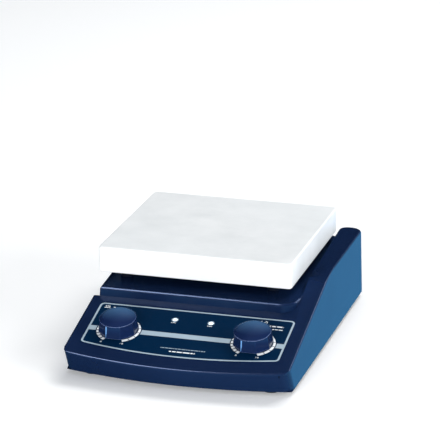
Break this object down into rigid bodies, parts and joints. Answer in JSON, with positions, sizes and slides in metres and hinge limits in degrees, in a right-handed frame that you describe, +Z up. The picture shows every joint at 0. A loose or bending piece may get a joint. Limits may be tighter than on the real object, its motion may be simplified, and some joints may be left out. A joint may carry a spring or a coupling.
{
  "type": "magnetic stirrer",
  "caption": "Bench magnetic stirrer with a square white ceramic hot plate on a navy wedge housing, sloping control panel, two turning knobs and a spinning drive magnet.",
  "frame": {"origin": "centre of the footprint's bounding box, on the bench under the rubber feet", "axes": "+Z up, -Y towards the control panel and the user, +X to the user's right"},
  "size_m": [0.203, 0.308, 0.087],
  "materials": {
    "housing": "glossy navy moulding",
    "base": "fine-textured moulding",
    "screw_steel": "zinc plated",
    "foot_rubber": "matt",
    "overlay": "printed film",
    "lamp": "clear lens",
    "diode": "clear resin",
    "circuit_board": "solder mask",
    "pot_case": "stamped",
    "bright_metal": "satin",
    "knob": "polished",
    "brass": "turned",
    "pointer": "inlaid",
    "plate_ceramic": "satin glaze",
    "heater": "mica",
    "insulation": "pressed fibre board",
    "motor_steel": "plated",
    "copper": "enamelled wire",
    "nylon": "natural",
    "coil_tape": "taped coil",
    "black_metal": "anodised",
    "black_plastic": "fine texture",
    "capacitor": "sleeve",
    "green_plastic": "moulded",
    "fuse_glass": "clear tube",
    "rocker": "polished"
  },
  "bodies": {
    "chassis": {"housing_shell": "housing", "base_cover": "base", "base_screws": "screw_steel", "rubber_feet": "foot_rubber", "foot_screws": "screw_steel", "control_overlay": "overlay", "lamp_lenses": "lamp", "lamp_diodes": "diode", "control_board": "circuit_board", "control_board_screws": "screw_steel", "pot_heat": "pot_case", "pot_speed": "pot_case", "pot_nuts": "bright_metal", "top_plate": "plate_ceramic", "heater_element": "heater", "heater_clamp": "bright_metal", "insulation_ring": "insulation", "plate_tray": "bright_metal", "temperature_probe": "bright_metal", "plate_posts": "black_metal", "post_nuts": "bright_metal", "motor_bracket": "bright_metal", "bracket_grommets": "foot_rubber", "bracket_screws": "screw_steel", "motor_can": "motor_steel", "motor_stator": "copper", "motor_bearings": "bright_metal", "power_board": "circuit_board", "board_standoffs": "nylon", "transformer": "coil_tape", "heat_sink": "black_metal", "triac": "black_plastic", "capacitors": "capacitor", "terminal_block": "green_plastic", "power_inlet": "black_plastic", "inlet_pins": "brass", "rocker_frame": "black_plastic", "rod_insert": "brass"},
    "heat_dial": {"knob_heat": "knob", "knob_heat_insert": "brass", "knob_heat_pointer": "pointer", "heat_shaft": "bright_metal"},
    "speed_dial": {"knob_speed": "knob", "knob_speed_insert": "brass", "knob_speed_pointer": "pointer", "speed_shaft": "bright_metal"},
    "rotor": {"motor_shaft": "bright_metal", "motor_rotor": "motor_steel", "magnet_carrier": "bright_metal", "drive_magnets": "motor_steel", "carrier_screw": "screw_steel"},
    "fuse_tray": {"fuse_drawer": "black_plastic", "fuse": "fuse_glass"},
    "rocker": {"power_rocker": "rocker"}
  },
  "joints": [
    {"name": "heat_dial_turn", "type": "hinge", "parent": "chassis", "child": "heat_dial", "pos_m": [-0.0611, -0.1039, 0.03511], "axis": [0, 0.2385, -0.9711], "range_deg": [0, 300]},
    {"name": "speed_dial_turn", "type": "hinge", "parent": "chassis", "child": "speed_dial", "pos_m": [0.0599, -0.1039, 0.03511], "axis": [0, 0.2385, -0.9711], "range_deg": [0, 300]},
    {"name": "rotor_spin", "type": "hinge", "parent": "chassis", "child": "rotor", "pos_m": [-0.0123, 0.0516, 0.06], "axis": [0, 0, 1], "continuous": true},
    {"name": "fuse_tray_slide", "type": "slide", "parent": "chassis", "child": "fuse_tray", "axis": [0, 1, 0], "range_m": [0, 0.018]},
    {"name": "rocker_tilt", "type": "hinge", "parent": "chassis", "child": "rocker", "pos_m": [-0.034, 0.147, 0.028], "axis": [1, 0, 0], "range_deg": [0, 22]}
  ]
}
